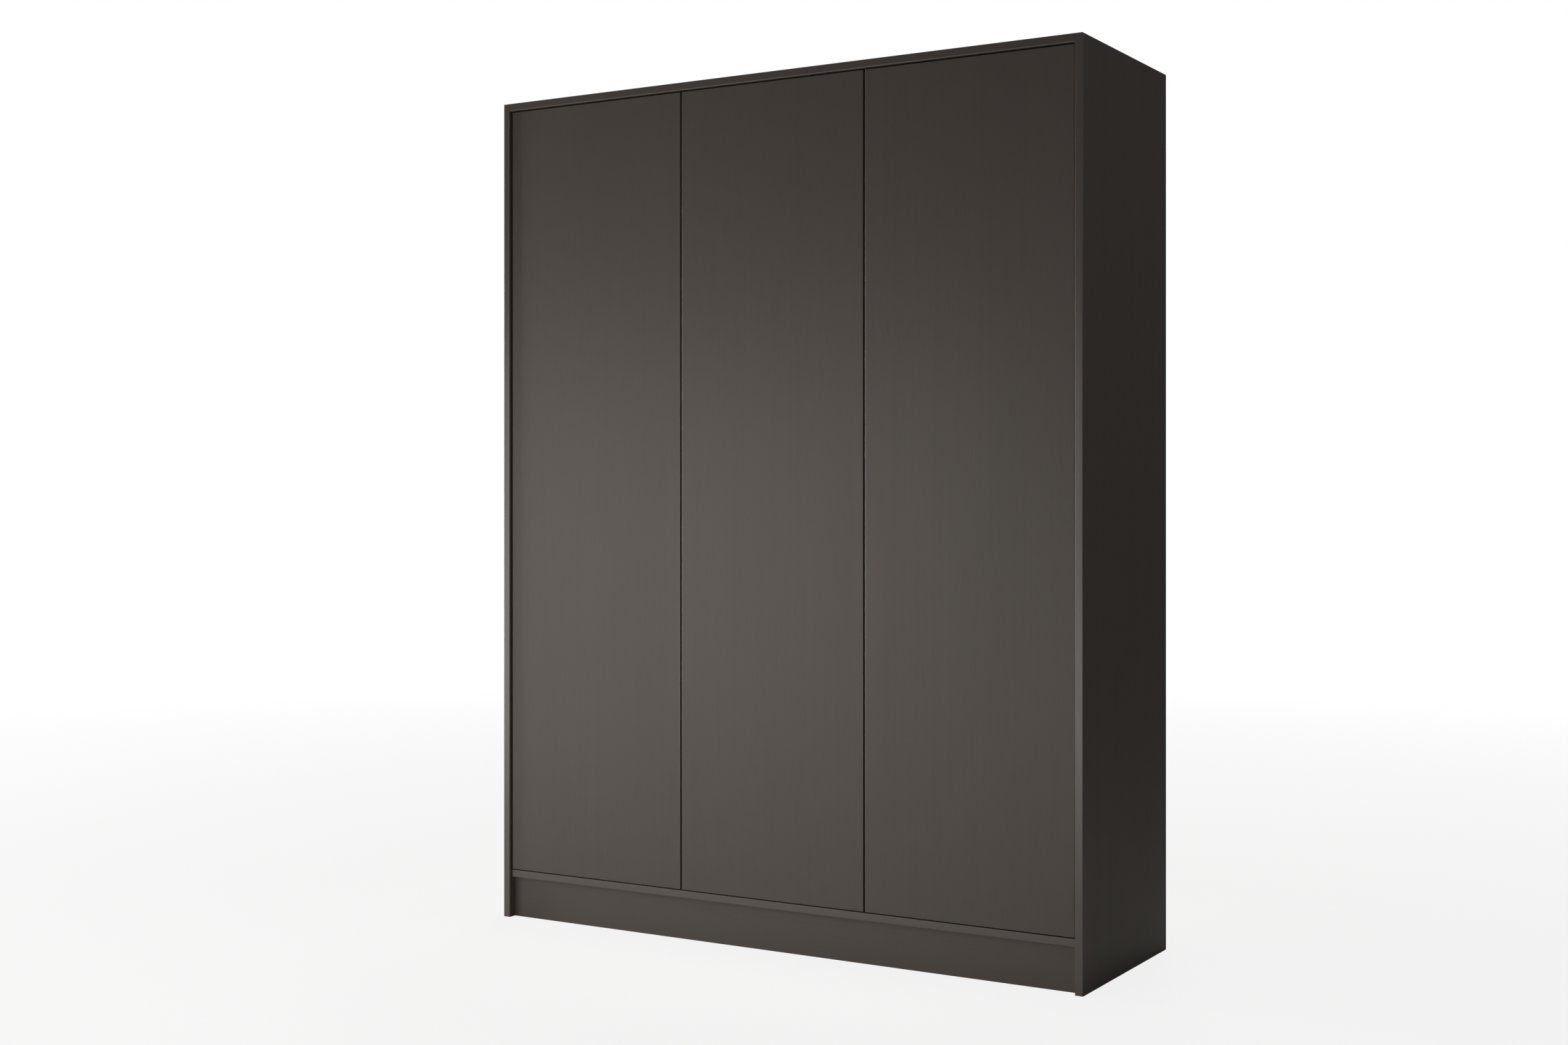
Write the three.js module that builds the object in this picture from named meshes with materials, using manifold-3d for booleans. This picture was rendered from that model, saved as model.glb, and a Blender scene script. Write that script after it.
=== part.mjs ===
// Three-door wardrobe with handleless inset doors, in millimetres.
// The origin is on the floor under the middle of the wardrobe; +X to the right, +Y to the back, +Z up.

import * as THREE from "three";
import { mergeVertices } from "three/addons/utils/BufferGeometryUtils.js";
import Module from "manifold-3d";

const wasm = await Module();
wasm.setup();

// Overall size and boards
const WIDTH = 1520;
const DEPTH = 500;
const HEIGHT = 2000;
const BOARD = 18;

// Back: thin sheets in a rebate along the side panels, joined by an H strip
const BACK_SHEET = 3;
const STRIP_FLANGE = 1;
const STRIP_WIDTH = 20;
const STRIP_WEB = 2;
const REBATE_WIDTH = 9;
const SHEET_PLAY = 0.5;
const SHEET_INSET_Z = 2;

// Plinth
const PLINTH_HEIGHT = 98;
const PLINTH_RECESS = 22;

// Doors and the gaps round them
const OUTER_DOOR_WIDTH = 495;
const DOOR_RECESS = 7;
const SIDE_GAP = 3;
const DOOR_GAP = 4;
const TOP_GAP = 2.5;
const BOTTOM_GAP = 2;
const BOTTOM_PANEL_RECESS = 8;
const DIVIDER_SETBACK = 2;

// Inside
const HAT_SHELF_UNDERSIDE = 1660;
const SHELF_COUNT = 4;
const SHELF_SETBACK = 20;
const SHELF_REAR_PLAY = 2;
const SHELF_SIDE_PLAY = 1;

// Hanging rail, an oval tube
const RAIL_WIDTH = 15;
const RAIL_HEIGHT = 30;
const RAIL_WALL = 1.2;
const RAIL_DROP = 45;
const RAIL_Y = 15;
const RAIL_PLAY = 0.3;
const RAIL_CURVE_STEPS = 8;
const SOCKET_PLATE = 2;
const SOCKET_LENGTH = 12;
const SOCKET_WALL = 3;
const SUPPORT_WIDTH = 16;
const SUPPORT_SHEET = 2.5;

// Cup hinges. Distances along the door run from its hinge edge, depths from its front face.
const HINGES_PER_DOOR = 4;
const HINGE_END_DISTANCE = 100;
const PIN_FROM_EDGE = 20;
const PIN_DEPTH = 9;
const PIN_RADIUS = 1.5;
const PIN_SIDES = 8;
const CUP_FROM_EDGE = 22.5;
const CUP_RADIUS = 17.5;
const CUP_WALL = 1.2;
const CUP_DEPTH = 13;
const CUP_BASE = 0.8;
const CUP_PLAY = 0.3;
const CUP_SIDES = 24;
const FLANGE_SHEET = 1;
const FLANGE_RADIUS = 19.5;
const FLANGE_HEIGHT = 60;
const FLANGE_WIDTH = 14;
const ARM_HEIGHT = 12;
const ARM_SHEET = 3;
const ARM_REACH = 37.5;
const ARM_BRIDGE_DEPTH = 34;
const ARM_BASE_SHEET = 10;
const ARM_BASE_END = 92;
const ARM_NECK_DEPTH = 17.2;
const ARM_NECK_REACH = 34;
const ARM_BEND_DEPTH = 24;
const EYE_RADIUS = 3;
const EYE_STEPS = 12;
const EYE_HOLE_STEPS = 5;

// Push latches under the top panel
const LATCH_WIDTH = 18;
const LATCH_HEIGHT = 20;
const LATCH_LENGTH = 80;
const LATCH_SETBACK = 4;
const LATCH_AXIS_DROP = 11;
const LATCH_FROM_EDGE = 30;
const LATCH_FROM_DIVIDER = 24;
const PLUNGER_RADIUS = 4;
const PLUNGER_LENGTH = 62;
const PLUNGER_PLAY = 0.4;
const PLUNGER_SIDES = 16;
const STRIKE_SIZE = 20;
const STRIKE_SHEET = 1.5;
const STRIKE_TOP_MARGIN = 2;
const STRIKE_PLAY = 0.3;

// Wall brackets against tipping
const BRACKET_WIDTH = 30;
const BRACKET_LEG = 60;
const BRACKET_DROP = 40;
const BRACKET_SHEET = 2;
const BRACKET_FROM_SIDE = 120;

// Worked-out places
const FRONT = -DEPTH / 2;
const REAR = DEPTH / 2;
const LEFT = -WIDTH / 2;
const RIGHT = WIDTH / 2;
const INNER_LEFT = LEFT + BOARD;
const INNER_RIGHT = RIGHT - BOARD;
const TOP_UNDERSIDE = HEIGHT - BOARD;
const FLOOR_TOP = PLINTH_HEIGHT + BOARD;
const PANEL_REAR = REAR - BACK_SHEET - STRIP_FLANGE;
const SHELF_REAR = PANEL_REAR - SHELF_REAR_PLAY;

const DOOR_FRONT = FRONT + DOOR_RECESS;
const DOOR_BACK = DOOR_FRONT + BOARD;
const DOOR_BOTTOM = FLOOR_TOP + BOTTOM_GAP;
const DOOR_TOP = TOP_UNDERSIDE - TOP_GAP;
const LEFT_DOOR_START = INNER_LEFT + SIDE_GAP;
const LEFT_DOOR_END = LEFT_DOOR_START + OUTER_DOOR_WIDTH;
const RIGHT_DOOR_END = INNER_RIGHT - SIDE_GAP;
const RIGHT_DOOR_START = RIGHT_DOOR_END - OUTER_DOOR_WIDTH;
const MIDDLE_DOOR_START = LEFT_DOOR_END + DOOR_GAP;
const MIDDLE_DOOR_END = RIGHT_DOOR_START - DOOR_GAP;

const DIVIDER_LEFT = MIDDLE_DOOR_END + SIDE_GAP;
const DIVIDER_RIGHT = DIVIDER_LEFT + BOARD;
const SHELF_FRONT = DOOR_BACK + SHELF_SETBACK;
const RAIL_Z = HAT_SHELF_UNDERSIDE - RAIL_DROP;

// Materials
const DECOR = { color: 0x575249, roughness: 0.55, metalness: 0 };
const HARDBOARD = { color: 0x4a443c, roughness: 0.8, metalness: 0 };
const STEEL = { color: 0xb8b8b6, roughness: 0.32, metalness: 1 };
const CHROME = { color: 0xd4d5d6, roughness: 0.15, metalness: 1 };
const DARK_PLASTIC = { color: 0x2c2b2a, roughness: 0.6, metalness: 0 };
const GREY_PLASTIC = { color: 0x6c6b69, roughness: 0.5, metalness: 0 };

const wardrobe = new THREE.Group();
wardrobe.name = "wardrobe";

// ---------- building blocks ----------

// Adds a named mesh with a material of its own.
function place(name, geometry, finish) {
  const mesh = new THREE.Mesh(geometry, new THREE.MeshStandardMaterial(finish));
  mesh.name = name;
  wardrobe.add(mesh);
  return mesh;
}

// A box between two corners.
function block([x0, y0, z0], [x1, y1, z1]) {
  const geometry = new THREE.BoxGeometry(x1 - x0, y1 - y0, z1 - z0);
  return geometry.translate((x0 + x1) / 2, (y0 + y1) / 2, (z0 + z1) / 2);
}

// A cylinder along Y.
function drumAlongY(x, y0, y1, z, radius, sides) {
  const geometry = new THREE.CylinderGeometry(radius, radius, y1 - y0, sides);
  return geometry.translate(x, (y0 + y1) / 2, z);
}

// A cylinder along Z.
function drumAlongZ(x, y, z0, z1, radius, sides) {
  const geometry = new THREE.CylinderGeometry(radius, radius, z1 - z0, sides);
  return geometry.rotateX(Math.PI / 2).translate(x, y, (z0 + z1) / 2);
}

// An outline in the XY plane, pushed up from z0 to z1.
function pushUp(outline, z0, z1) {
  const settings = { depth: z1 - z0, bevelEnabled: false, curveSegments: EYE_HOLE_STEPS };
  const geometry = new THREE.ExtrudeGeometry(outline, settings);
  return geometry.translate(0, 0, z0);
}

// An outline drawn as (Y, Z), pushed along X from x0 to x1.
function pushAlongX(outline, x0, x1) {
  const settings = { depth: x1 - x0, bevelEnabled: false, curveSegments: RAIL_CURVE_STEPS };
  const geometry = new THREE.ExtrudeGeometry(outline, settings);
  const turn = new THREE.Matrix4().makeBasis(
    new THREE.Vector3(0, 1, 0),
    new THREE.Vector3(0, 0, 1),
    new THREE.Vector3(1, 0, 0),
  );
  return geometry.applyMatrix4(turn).translate(x0, 0, 0);
}

// A closed outline through plain points.
function polygon(points) {
  return new THREE.Shape(points.map(([a, b]) => new THREE.Vector2(a, b)));
}

// A closed geometry as a solid that can be joined and cut.
function solid(geometry) {
  const bare = geometry.clone();
  bare.deleteAttribute("normal");
  bare.deleteAttribute("uv");
  const merged = mergeVertices(bare);
  const vertProperties = new Float32Array(merged.attributes.position.array);
  const triVerts = new Uint32Array(merged.index.array);
  return new wasm.Manifold(new wasm.Mesh({ numProp: 3, vertProperties, triVerts }));
}

// A solid back as a geometry.
function skin(manifold) {
  const mesh = manifold.getMesh();
  const geometry = new THREE.BufferGeometry();
  geometry.setAttribute("position", new THREE.BufferAttribute(new Float32Array(mesh.vertProperties), 3));
  geometry.setIndex(new THREE.BufferAttribute(new Uint32Array(mesh.triVerts), 1));
  geometry.computeVertexNormals();
  return geometry;
}

// ---------- carcass ----------

// A full-depth side panel with the back sheets' rebate along its inner rear edge.
// inward is +1 where the inside lies towards +X.
function sidePanel(name, outerX, inward) {
  const innerX = outerX + inward * BOARD;
  const rebateX = innerX - inward * REBATE_WIDTH;
  const outline = polygon([
    [outerX, FRONT],
    [innerX, FRONT],
    [innerX, PANEL_REAR],
    [rebateX, PANEL_REAR],
    [rebateX, REAR],
    [outerX, REAR],
  ]);
  place(name, pushUp(outline, 0, HEIGHT), DECOR);
}

function carcass() {
  sidePanel("left_side_panel", LEFT, 1);
  sidePanel("right_side_panel", RIGHT, -1);
  place("top_panel", block([INNER_LEFT, FRONT, TOP_UNDERSIDE], [INNER_RIGHT, PANEL_REAR, HEIGHT]), DECOR);
  const floorFront = FRONT + BOTTOM_PANEL_RECESS;
  const floor = block([INNER_LEFT, floorFront, PLINTH_HEIGHT], [INNER_RIGHT, PANEL_REAR, FLOOR_TOP]);
  place("bottom_panel", floor, DECOR);
  const dividerFront = DOOR_BACK + DIVIDER_SETBACK;
  const divider = block([DIVIDER_LEFT, dividerFront, FLOOR_TOP], [DIVIDER_RIGHT, PANEL_REAR, TOP_UNDERSIDE]);
  place("divider_panel", divider, DECOR);
}

function plinth() {
  const frontFace = FRONT + PLINTH_RECESS;
  const frontBack = frontFace + BOARD;
  const rearFace = PANEL_REAR - BOARD;
  place("plinth_front", block([INNER_LEFT, frontFace, 0], [INNER_RIGHT, frontBack, PLINTH_HEIGHT]), DECOR);
  place("plinth_rear", block([INNER_LEFT, rearFace, 0], [INNER_RIGHT, PANEL_REAR, PLINTH_HEIGHT]), DECOR);
  const support = block([DIVIDER_LEFT, frontBack, 0], [DIVIDER_RIGHT, rearFace, PLINTH_HEIGHT]);
  place("plinth_support", support, DECOR);
}

// Three sheets: two meet in the H strip behind the wide bay, two meet on the divider's rear edge.
function back() {
  const sheetStart = INNER_LEFT - REBATE_WIDTH + SHEET_PLAY;
  const sheetEnd = INNER_RIGHT + REBATE_WIDTH - SHEET_PLAY;
  const stripX = (INNER_LEFT + DIVIDER_LEFT) / 2;
  const dividerX = (DIVIDER_LEFT + DIVIDER_RIGHT) / 2;
  const bottom = PLINTH_HEIGHT + SHEET_INSET_Z;
  const top = HEIGHT - SHEET_INSET_Z;
  const sheetRear = PANEL_REAR + BACK_SHEET;
  const spans = {
    back_panel_left: [sheetStart, stripX - STRIP_WEB / 2],
    back_panel_middle: [stripX + STRIP_WEB / 2, dividerX - SHEET_PLAY],
    back_panel_right: [dividerX + SHEET_PLAY, sheetEnd],
  };
  for (const [name, [start, end]] of Object.entries(spans)) {
    place(name, block([start, PANEL_REAR, bottom], [end, sheetRear, top]), HARDBOARD);
  }

  const half = STRIP_WIDTH / 2;
  const web = STRIP_WEB / 2 - SHEET_PLAY / 2;
  const inner = PANEL_REAR - STRIP_FLANGE;
  const outline = polygon([
    [stripX - half, inner],
    [stripX + half, inner],
    [stripX + half, PANEL_REAR],
    [stripX + web, PANEL_REAR],
    [stripX + web, sheetRear],
    [stripX + half, sheetRear],
    [stripX + half, REAR],
    [stripX - half, REAR],
    [stripX - half, sheetRear],
    [stripX - web, sheetRear],
    [stripX - web, PANEL_REAR],
    [stripX - half, PANEL_REAR],
  ]);
  const strip = pushUp(outline, FLOOR_TOP + SHEET_PLAY, TOP_UNDERSIDE - SHEET_PLAY);
  place("back_joining_strip", strip, DARK_PLASTIC);
}

// ---------- inside ----------

function shelves() {
  const hatShelfTop = HAT_SHELF_UNDERSIDE + BOARD;
  const hatShelfLow = [INNER_LEFT, SHELF_FRONT, HAT_SHELF_UNDERSIDE];
  const hatShelf = block(hatShelfLow, [DIVIDER_LEFT, SHELF_REAR, hatShelfTop]);
  place("hat_shelf", hatShelf, DECOR);

  const opening = (TOP_UNDERSIDE - FLOOR_TOP - SHELF_COUNT * BOARD) / (SHELF_COUNT + 1);
  for (let i = 0; i < SHELF_COUNT; i += 1) {
    const underside = FLOOR_TOP + opening * (i + 1) + BOARD * i;
    const low = [DIVIDER_RIGHT + SHELF_SIDE_PLAY, SHELF_FRONT, underside];
    const high = [INNER_RIGHT - SHELF_SIDE_PLAY, SHELF_REAR, underside + BOARD];
    place(`shelf_${i + 1}`, block(low, high), DECOR);
  }
}

// An upright oval in (Y, Z), round at the top and bottom, grown on every side by margin.
function railOval(margin) {
  const radius = RAIL_WIDTH / 2 + margin;
  const straight = (RAIL_HEIGHT - RAIL_WIDTH) / 2;
  const outline = new THREE.Shape();
  outline.absarc(RAIL_Y, RAIL_Z + straight, radius, 0, Math.PI, false);
  outline.absarc(RAIL_Y, RAIL_Z - straight, radius, Math.PI, 2 * Math.PI, false);
  outline.closePath();
  return outline;
}

// A cup for the rail's end, open at the top, with a plate against the wall. inward is +1 towards +X.
function railSocket(name, wallX, inward) {
  const plateX = wallX + inward * SOCKET_PLATE;
  const mouthX = wallX + inward * SOCKET_LENGTH;
  const order = (a, b) => (a < b ? [a, b] : [b, a]);
  const reach = RAIL_WIDTH / 2 + RAIL_PLAY;
  const body = solid(pushAlongX(railOval(SOCKET_WALL), ...order(wallX, mouthX)));
  const oval = solid(pushAlongX(railOval(RAIL_PLAY), ...order(plateX, mouthX + inward)));
  const [low, high] = order(plateX, mouthX + inward);
  const mouthFloor = RAIL_Z + (RAIL_HEIGHT - RAIL_WIDTH) / 2;
  const mouthTop = mouthFloor + RAIL_HEIGHT;
  const mouth = solid(block([low, RAIL_Y - reach, mouthFloor], [high, RAIL_Y + reach, mouthTop]));
  place(name, skin(body.subtract(oval).subtract(mouth)), STEEL);
}

function rail() {
  const start = INNER_LEFT + SOCKET_PLATE + RAIL_PLAY;
  const end = DIVIDER_LEFT - SOCKET_PLATE - RAIL_PLAY;
  const outline = railOval(0);
  outline.holes.push(railOval(-RAIL_WALL));
  place("hanging_rail", pushAlongX(outline, start, end), CHROME);
  railSocket("rail_socket_left", INNER_LEFT, 1);
  railSocket("rail_socket_right", DIVIDER_LEFT, -1);

  // Centre bracket: a foot under the hat shelf, a leg behind the rail and a hook under it.
  const middle = (INNER_LEFT + DIVIDER_LEFT) / 2;
  const behind = RAIL_Y + RAIL_WIDTH / 2 + RAIL_PLAY;
  const before = RAIL_Y - RAIL_WIDTH / 2 - RAIL_PLAY;
  const under = RAIL_Z - RAIL_HEIGHT / 2 - RAIL_PLAY;
  const lip = under + RAIL_HEIGHT / 3;
  const hook = polygon([
    [behind, HAT_SHELF_UNDERSIDE - SUPPORT_SHEET],
    [behind, under],
    [before, under],
    [before, lip],
    [before - SUPPORT_SHEET, lip],
    [before - SUPPORT_SHEET, under - SUPPORT_SHEET],
    [behind + SUPPORT_SHEET, under - SUPPORT_SHEET],
    [behind + SUPPORT_SHEET, HAT_SHELF_UNDERSIDE],
    [before, HAT_SHELF_UNDERSIDE],
    [before, HAT_SHELF_UNDERSIDE - SUPPORT_SHEET],
  ]);
  const half = SUPPORT_WIDTH / 2;
  place("rail_centre_bracket", pushAlongX(hook, middle - half, middle + half), STEEL);
}

function wallBrackets() {
  const outline = polygon([
    [PANEL_REAR, TOP_UNDERSIDE],
    [PANEL_REAR - BRACKET_LEG, TOP_UNDERSIDE],
    [PANEL_REAR - BRACKET_LEG, TOP_UNDERSIDE - BRACKET_SHEET],
    [PANEL_REAR - BRACKET_SHEET, TOP_UNDERSIDE - BRACKET_SHEET],
    [PANEL_REAR - BRACKET_SHEET, TOP_UNDERSIDE - BRACKET_DROP],
    [PANEL_REAR, TOP_UNDERSIDE - BRACKET_DROP],
  ]);
  const starts = {
    wall_bracket_left: INNER_LEFT + BRACKET_FROM_SIDE,
    wall_bracket_right: INNER_RIGHT - BRACKET_FROM_SIDE - BRACKET_WIDTH,
  };
  for (const [name, start] of Object.entries(starts)) {
    place(name, pushAlongX(outline, start, start + BRACKET_WIDTH), STEEL);
  }
}

// ---------- doors and hinges ----------

// Each door's hinge edge, free edge and push latch; towardsFree is +1 where the free edge lies
// towards +X.
const doors = [
  {
    side: "left",
    hingeX: LEFT_DOOR_START,
    freeX: LEFT_DOOR_END,
    latchX: LEFT_DOOR_END - LATCH_FROM_EDGE,
  },
  {
    side: "middle",
    hingeX: MIDDLE_DOOR_END,
    freeX: MIDDLE_DOOR_START,
    latchX: MIDDLE_DOOR_START + LATCH_FROM_EDGE,
  },
  {
    side: "right",
    hingeX: RIGHT_DOOR_END,
    freeX: RIGHT_DOOR_START,
    latchX: DIVIDER_RIGHT + LATCH_FROM_DIVIDER,
  },
];
for (const door of doors) {
  door.towardsFree = Math.sign(door.freeX - door.hingeX);
}

// Heights of the hinges, evenly spread along the door.
const hingeHeights = Array.from({ length: HINGES_PER_DOOR }, (_, i) => {
  const first = DOOR_BOTTOM + HINGE_END_DISTANCE;
  const last = DOOR_TOP - HINGE_END_DISTANCE;
  return first + ((last - first) * i) / (HINGES_PER_DOOR - 1);
});

// A slab with a blind bore in its back for each hinge cup.
function doorPanel({ side, hingeX, freeX, towardsFree }) {
  const low = Math.min(hingeX, freeX);
  const high = Math.max(hingeX, freeX);
  let slab = solid(block([low, DOOR_FRONT, DOOR_BOTTOM], [high, DOOR_BACK, DOOR_TOP]));
  const boreX = hingeX + towardsFree * CUP_FROM_EDGE;
  const boreFloor = DOOR_BACK - CUP_DEPTH - CUP_PLAY;
  const boreRadius = CUP_RADIUS + CUP_PLAY;
  for (const z of hingeHeights) {
    slab = slab.subtract(solid(drumAlongY(boreX, boreFloor, DOOR_BACK + 1, z, boreRadius, CUP_SIDES)));
  }
  place(`door_${side}`, skin(slab), DECOR);
}

// A round cup with a flange and wings on the door's back, and the pin across it.
function hingeCup(name, { hingeX, towardsFree }, z) {
  const x = hingeX + towardsFree * CUP_FROM_EDGE;
  const pinX = hingeX + towardsFree * PIN_FROM_EDGE;
  const pinY = DOOR_FRONT + PIN_DEPTH;
  const base = DOOR_BACK - CUP_DEPTH;
  const rim = DOOR_BACK + FLANGE_SHEET;
  const halfWing = FLANGE_HEIGHT / 2;
  const wingX = [x - FLANGE_WIDTH / 2, x + FLANGE_WIDTH / 2];
  const cupInside = CUP_RADIUS - CUP_WALL;
  const body = solid(drumAlongY(x, base, rim, z, CUP_RADIUS, CUP_SIDES));
  const flange = solid(drumAlongY(x, DOOR_BACK, rim, z, FLANGE_RADIUS, CUP_SIDES));
  const wings = solid(block([wingX[0], DOOR_BACK, z - halfWing], [wingX[1], rim, z + halfWing]));
  const hollow = solid(drumAlongY(x, base + CUP_BASE, rim + 1, z, cupInside, CUP_SIDES));
  const pin = solid(drumAlongZ(pinX, pinY, z - cupInside, z + cupInside, PIN_RADIUS, PIN_SIDES));
  const cup = body.add(flange).add(wings).subtract(hollow).add(pin);
  place(name, skin(cup), STEEL);
}

// The hinge arm's outline in plan: an eye round the pin, a neck out of the cup, a bridge past the door's
// edge and a base along the panel that carries it.
function armOutline({ hingeX, towardsFree }) {
  const half = ARM_SHEET / 2;
  const at = (fromEdge, depth) => new THREE.Vector2(hingeX + towardsFree * fromEdge, DOOR_FRONT + depth);
  const neck = Math.atan2(ARM_NECK_DEPTH - PIN_DEPTH, ARM_NECK_REACH - PIN_FROM_EDGE);
  const across = [-Math.sin(neck) * half, Math.cos(neck) * half];
  const eyeSpan = Math.asin(half / EYE_RADIUS);
  const eye = [];
  for (let i = 0; i <= EYE_STEPS; i += 1) {
    const angle = neck + eyeSpan + ((2 * Math.PI - 2 * eyeSpan) * i) / EYE_STEPS;
    eye.push(at(PIN_FROM_EDGE + EYE_RADIUS * Math.cos(angle), PIN_DEPTH + EYE_RADIUS * Math.sin(angle)));
  }
  const points = [
    ...eye,
    at(ARM_NECK_REACH - across[0], ARM_NECK_DEPTH - across[1]),
    at(ARM_REACH + half, ARM_BEND_DEPTH - half),
    at(ARM_REACH + half, ARM_BRIDGE_DEPTH + half),
    at(ARM_BASE_SHEET - SIDE_GAP, ARM_BRIDGE_DEPTH + half),
    at(ARM_BASE_SHEET - SIDE_GAP, ARM_BASE_END),
    at(-SIDE_GAP, ARM_BASE_END),
    at(-SIDE_GAP, ARM_BRIDGE_DEPTH - half),
    at(ARM_REACH - half, ARM_BRIDGE_DEPTH - half),
    at(ARM_REACH - half, ARM_BEND_DEPTH),
    at(ARM_NECK_REACH + across[0], ARM_NECK_DEPTH + across[1]),
  ];
  const outline = new THREE.Shape(points);
  const eyeCentre = at(PIN_FROM_EDGE, PIN_DEPTH);
  const hole = new THREE.Path();
  const clockwise = towardsFree > 0;
  hole.absarc(eyeCentre.x, eyeCentre.y, PIN_RADIUS + CUP_PLAY, 0, 2 * Math.PI, clockwise);
  outline.holes.push(hole);
  return outline;
}

function hinges(door) {
  const outline = armOutline(door);
  hingeHeights.forEach((z, i) => {
    hingeCup(`hinge_cup_${door.side}_${i + 1}`, door, z);
    const arm = pushUp(outline, z - ARM_HEIGHT / 2, z + ARM_HEIGHT / 2);
    place(`hinge_arm_${door.side}_${i + 1}`, arm, STEEL);
  });
}

// ---------- push latches ----------

function pushLatch({ side, latchX }) {
  const front = DOOR_BACK + LATCH_SETBACK;
  const axisZ = TOP_UNDERSIDE - LATCH_AXIS_DROP;
  const halfWidth = LATCH_WIDTH / 2;
  const housingLow = [latchX - halfWidth, front, TOP_UNDERSIDE - LATCH_HEIGHT];
  const housingHigh = [latchX + halfWidth, front + LATCH_LENGTH, TOP_UNDERSIDE];
  const tip = DOOR_BACK + STRIKE_SHEET + STRIKE_PLAY;
  const tail = tip + PLUNGER_LENGTH;
  const boreRadius = PLUNGER_RADIUS + PLUNGER_PLAY;
  const bore = drumAlongY(latchX, front - 1, tail + PLUNGER_PLAY, axisZ, boreRadius, PLUNGER_SIDES);
  const housing = solid(block(housingLow, housingHigh)).subtract(solid(bore));
  place(`latch_housing_${side}`, skin(housing), GREY_PLASTIC);
  const plunger = drumAlongY(latchX, tip, tail, axisZ, PLUNGER_RADIUS, PLUNGER_SIDES);
  place(`latch_plunger_${side}`, plunger, DARK_PLASTIC);

  const halfStrike = STRIKE_SIZE / 2;
  const strikeTop = DOOR_TOP - STRIKE_TOP_MARGIN;
  const strikeLow = [latchX - halfStrike, DOOR_BACK, strikeTop - STRIKE_SIZE];
  const strikeHigh = [latchX + halfStrike, DOOR_BACK + STRIKE_SHEET, strikeTop];
  place(`strike_plate_${side}`, block(strikeLow, strikeHigh), STEEL);
}

carcass();
plinth();
back();
shelves();
rail();
wallBrackets();
for (const door of doors) {
  doorPanel(door);
  hinges(door);
  pushLatch(door);
}

export default wardrobe;
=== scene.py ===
"""Looks of the three-door wardrobe: laminated boards, edge bands, hinges, latches and small fittings."""

import math

import bmesh
import bpy
from mathutils import Matrix, Vector


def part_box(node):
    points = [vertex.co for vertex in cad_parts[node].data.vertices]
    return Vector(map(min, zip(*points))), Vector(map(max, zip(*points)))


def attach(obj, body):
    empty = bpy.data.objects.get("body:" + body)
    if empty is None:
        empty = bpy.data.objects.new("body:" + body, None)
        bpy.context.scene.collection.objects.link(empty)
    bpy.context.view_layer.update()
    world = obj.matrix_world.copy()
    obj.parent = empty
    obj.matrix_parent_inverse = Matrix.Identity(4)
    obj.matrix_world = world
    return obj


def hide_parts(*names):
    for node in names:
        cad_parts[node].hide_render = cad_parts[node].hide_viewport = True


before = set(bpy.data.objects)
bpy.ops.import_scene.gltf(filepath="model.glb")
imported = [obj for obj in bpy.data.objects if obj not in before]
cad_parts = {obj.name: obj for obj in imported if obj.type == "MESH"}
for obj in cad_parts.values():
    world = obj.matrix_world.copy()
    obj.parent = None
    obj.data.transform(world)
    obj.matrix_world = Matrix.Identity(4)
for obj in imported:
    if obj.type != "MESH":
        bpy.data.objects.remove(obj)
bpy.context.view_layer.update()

MM = 0.001
X, Y, Z = Vector((1, 0, 0)), Vector((0, 1, 0)), Vector((0, 0, 1))
SIDES = {  # the axis each side lies on, and its sign
    "left": (0, -1), "right": (0, 1), "front": (1, -1), "rear": (1, 1), "bottom": (2, -1), "top": (2, 1),
}
DOORS = ("left", "middle", "right")
LOOSE_SHELVES = range(1, 5)

# Boards
BAND = 2.0 * MM  # thickness of an edge band
BAND_ROUND = 1.6 * MM  # radius of its outer arrises
WELD = 0.02 * MM  # points nearer than this count as one
SOFT_ANGLE = math.radians(35.0)  # edges flatter than this are shaded smooth
SHARP_ANGLE = math.radians(40)  # edges sharper than this are rounded

# Shelf-pin holes and their pins
PIN_RADIUS = 2.5 * MM
PIN_ROW_FRONT = 55 * MM  # from the divider's front edge
PIN_ROW_REAR = 46 * MM  # from its rear edge
HOLE_PITCH = 32 * MM
HOLE_DEPTH = 10 * MM
HOLE_SIDES = 14
HOLE_END = 64 * MM  # from the divider's lower end to the first hole
HINGE_CLEAR = 48 * MM  # a hole nearer than this to a hinge's height is left out
PIN_SHAFT = PIN_RADIUS * 0.96
PIN_BODY = 2.9 * MM  # radius of the outer part, on which the shelf lies
PIN_PROFILE = (
    (0, -4 * MM), (PIN_SHAFT, -4 * MM), (PIN_SHAFT, 0), (3.8 * MM, 0), (3.8 * MM, 0.8 * MM),
    (PIN_BODY, 1.1 * MM), (PIN_BODY, 8.2 * MM), (2.3 * MM, 8.8 * MM), (0, 8.8 * MM),
)

# Screws: a domed head with a cross recess
HEAD_RADIUS = {
    "plate": 3.6 * MM, "cup": 3.3 * MM, "arm": 3.0 * MM, "latch": 3.0 * MM,
    "strike": 2.6 * MM, "rail": 2.8 * MM, "wall": 4.2 * MM,
}
SCREW_DOME = 0.5 * MM
SCREW_SINK = 0.3 * MM  # how far the head's foot goes below the surface
SCREW_SIDES = 24
SCREW_RINGS = 7
CROSS_DEPTH = 0.45 * MM
CROSS_HALF_WIDTH = 0.16  # these two are shares of the head's radius
CROSS_REACH = 0.62

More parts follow.
